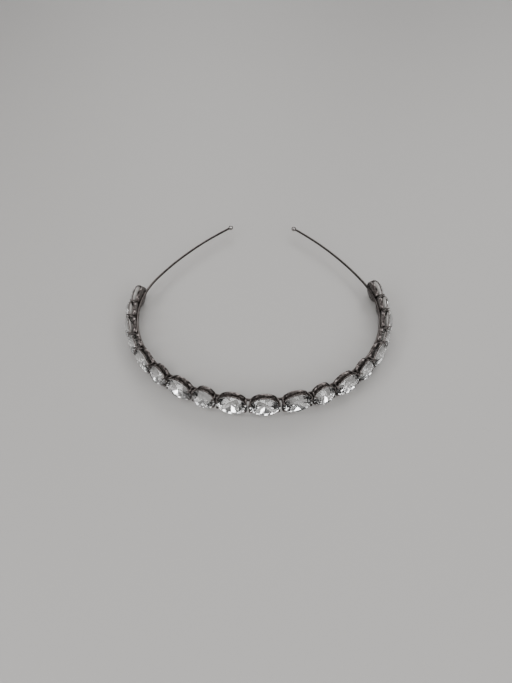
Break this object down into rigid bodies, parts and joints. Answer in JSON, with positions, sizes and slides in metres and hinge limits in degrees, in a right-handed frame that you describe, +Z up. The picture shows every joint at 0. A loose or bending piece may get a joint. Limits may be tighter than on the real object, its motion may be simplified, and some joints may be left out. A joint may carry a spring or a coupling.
{
  "type": "crystal hairband tiara",
  "caption": "Hairband tiara: a dark bent wire band with a row of large clear oval stones in open claw settings round the crown, and bare springy arms with ball tips.",
  "frame": {"origin": "centre of the object's box on the surface it lies on", "axes": "+Z up from the surface; the crown of the band and its stones face -Y and the two bare arms run back towards +Y; +X is the right arm's side, seen from above with the crown towards the viewer"},
  "size_m": [0.1434, 0.1576, 0.0114],
  "materials": {
    "wire": "dark gunmetal plated spring wire",
    "ball": "polished gunmetal ball",
    "setting": "aged gunmetal plating over brass castings",
    "crystal": "clear cut glass"
  },
  "bodies": {
    "crown": {"crown_wire": "wire", "centre_setting": "setting", "left_setting_1": "setting", "left_setting_2": "setting", "left_setting_3": "setting", "left_setting_4": "setting", "left_setting_5": "setting", "left_setting_6": "setting", "left_setting_7": "setting", "left_setting_8": "setting", "left_setting_9": "setting", "right_setting_1": "setting", "right_setting_2": "setting", "right_setting_3": "setting", "right_setting_4": "setting", "right_setting_5": "setting", "right_setting_6": "setting", "right_setting_7": "setting", "right_setting_8": "setting", "right_setting_9": "setting", "centre_stone": "crystal", "left_stone_1": "crystal", "left_stone_2": "crystal", "left_stone_3": "crystal", "left_stone_4": "crystal", "left_stone_5": "crystal", "left_stone_6": "crystal", "left_stone_7": "crystal", "left_stone_8": "crystal", "left_stone_9": "crystal", "right_stone_1": "crystal", "right_stone_2": "crystal", "right_stone_3": "crystal", "right_stone_4": "crystal", "right_stone_5": "crystal", "right_stone_6": "crystal", "right_stone_7": "crystal", "right_stone_8": "crystal", "right_stone_9": "crystal"},
    "left_arm": {"left_arm_wire": "wire", "left_ball_tip": "ball"},
    "right_arm": {"right_arm_wire": "wire", "right_ball_tip": "ball"}
  },
  "joints": [
    {"name": "left_arm_flex", "type": "hinge", "parent": "crown", "child": "left_arm", "pos_m": [-0.05984, 0.01965, 0.00568], "axis": [0, 0, 1], "range_deg": [-4, 12], "stiffness_Nm_per_rad": 0.4},
    {"name": "right_arm_flex", "type": "hinge", "parent": "crown", "child": "right_arm", "pos_m": [0.05984, 0.01965, 0.00568], "axis": [0, 0, -1], "range_deg": [-4, 12], "stiffness_Nm_per_rad": 0.4}
  ]
}
